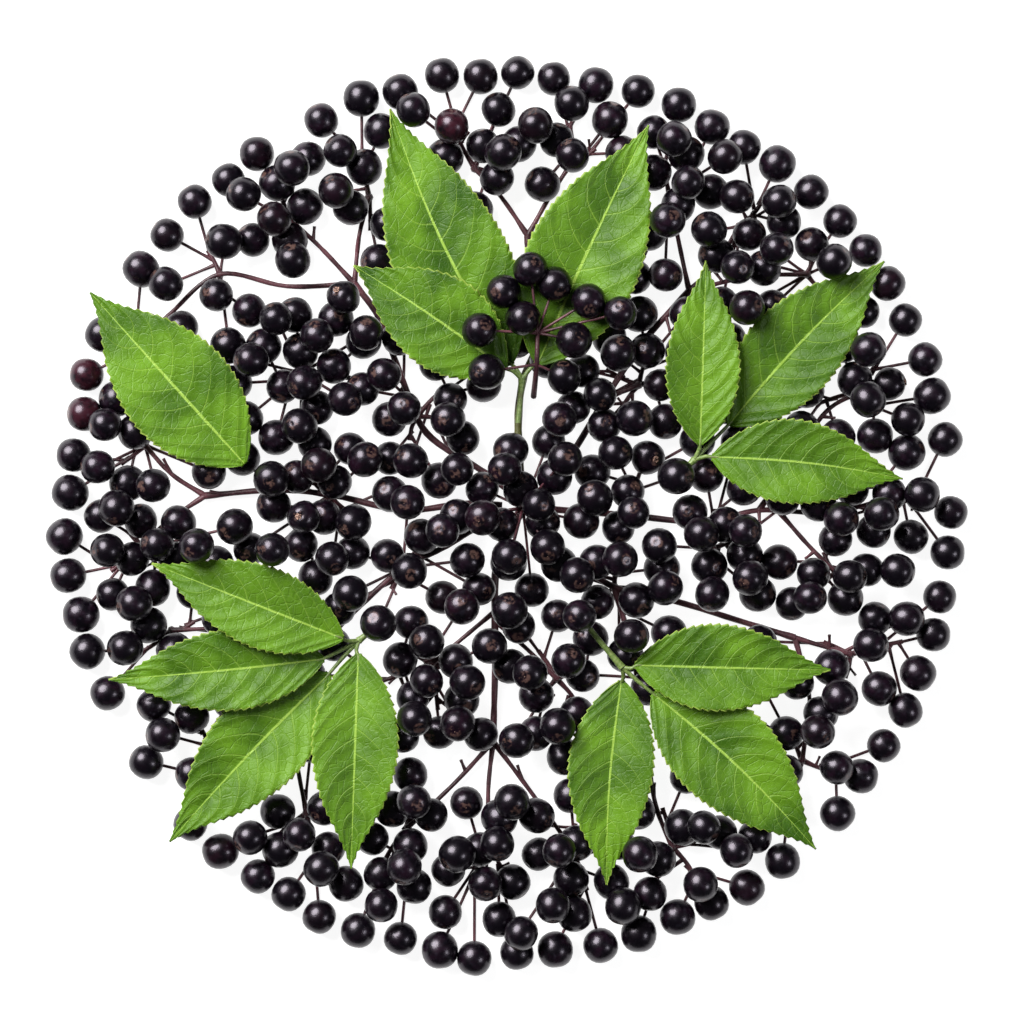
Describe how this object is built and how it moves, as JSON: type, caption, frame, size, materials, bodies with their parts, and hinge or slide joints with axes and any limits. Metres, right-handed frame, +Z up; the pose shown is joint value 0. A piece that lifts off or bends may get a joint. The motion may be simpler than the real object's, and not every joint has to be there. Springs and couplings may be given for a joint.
{
  "type": "elderberry cluster",
  "caption": "Ripe elderberry cluster lying on a surface: dark berries on a branching head of purple stems, with a few serrated leaves among them.",
  "frame": {"origin": "centre of the bunch in plan, on the surface that it lies on", "axes": "+Z up from the surface that the bunch lies on, through its thickness; +Y along the main stem towards the leaf bases; +X to the right seen from above"},
  "size_m": [0.1902, 0.1895, 0.0204],
  "materials": {
    "berries": "ripe near-black purple berry skin with a satin gloss and a thin bloom",
    "stem": "smooth purple-brown soft bark, olive green at the top of the main stem",
    "green_stalk": "smooth yellow-green leaf stalk",
    "leaf": "fresh green leaf blade with pale veins"
  },
  "bodies": {
    "root": {"leaf_stalk_east": "green_stalk", "leaf_stalk_north": "green_stalk", "leaf_stalk_southeast": "green_stalk", "leaf_stalk_southwest": "green_stalk", "leaflet_east_lower": "leaf", "leaflet_east_middle": "leaf", "leaflet_east_upper": "leaf", "leaflet_north_left": "leaf", "leaflet_north_low": "leaf", "leaflet_north_right": "leaf", "leaflet_southeast_1": "leaf", "leaflet_southeast_2": "leaf", "leaflet_southeast_3": "leaf", "leaflet_southwest_1": "leaf", "leaflet_southwest_2": "leaf", "leaflet_southwest_3": "leaf", "leaflet_southwest_4": "leaf", "leaflet_west": "leaf", "main_stem": "stem", "ray_east": "stem", "ray_northeast": "stem", "ray_northwest": "stem", "ray_southeast": "stem", "ray_southwest": "stem", "ray_west": "stem", "spray_centre": "berries", "spray_east_1": "berries", "spray_east_2": "berries", "spray_east_3": "berries", "spray_inner_east_1": "berries", "spray_inner_east_2": "berries", "spray_inner_northeast": "berries", "spray_inner_northwest_1": "berries", "spray_inner_northwest_2": "berries", "spray_inner_south_1": "berries", "spray_inner_south_2": "berries", "spray_inner_southeast": "berries", "spray_inner_southwest": "berries", "spray_inner_west": "berries", "spray_north_1": "berries", "spray_north_2": "berries", "spray_northeast_1": "berries", "spray_northeast_2": "berries", "spray_northeast_3": "berries", "spray_northwest_1": "berries", "spray_northwest_2": "berries", "spray_northwest_3": "berries", "spray_over_leaves": "berries", "spray_south_1": "berries", "spray_south_2": "berries", "spray_south_3": "berries", "spray_south_4": "berries", "spray_southeast_1": "berries", "spray_southeast_2": "berries", "spray_southwest_1": "berries", "spray_southwest_2": "berries", "spray_southwest_3": "berries", "spray_west_1": "berries", "spray_west_2": "berries", "spray_west_3": "berries"}
  },
  "joints": []
}
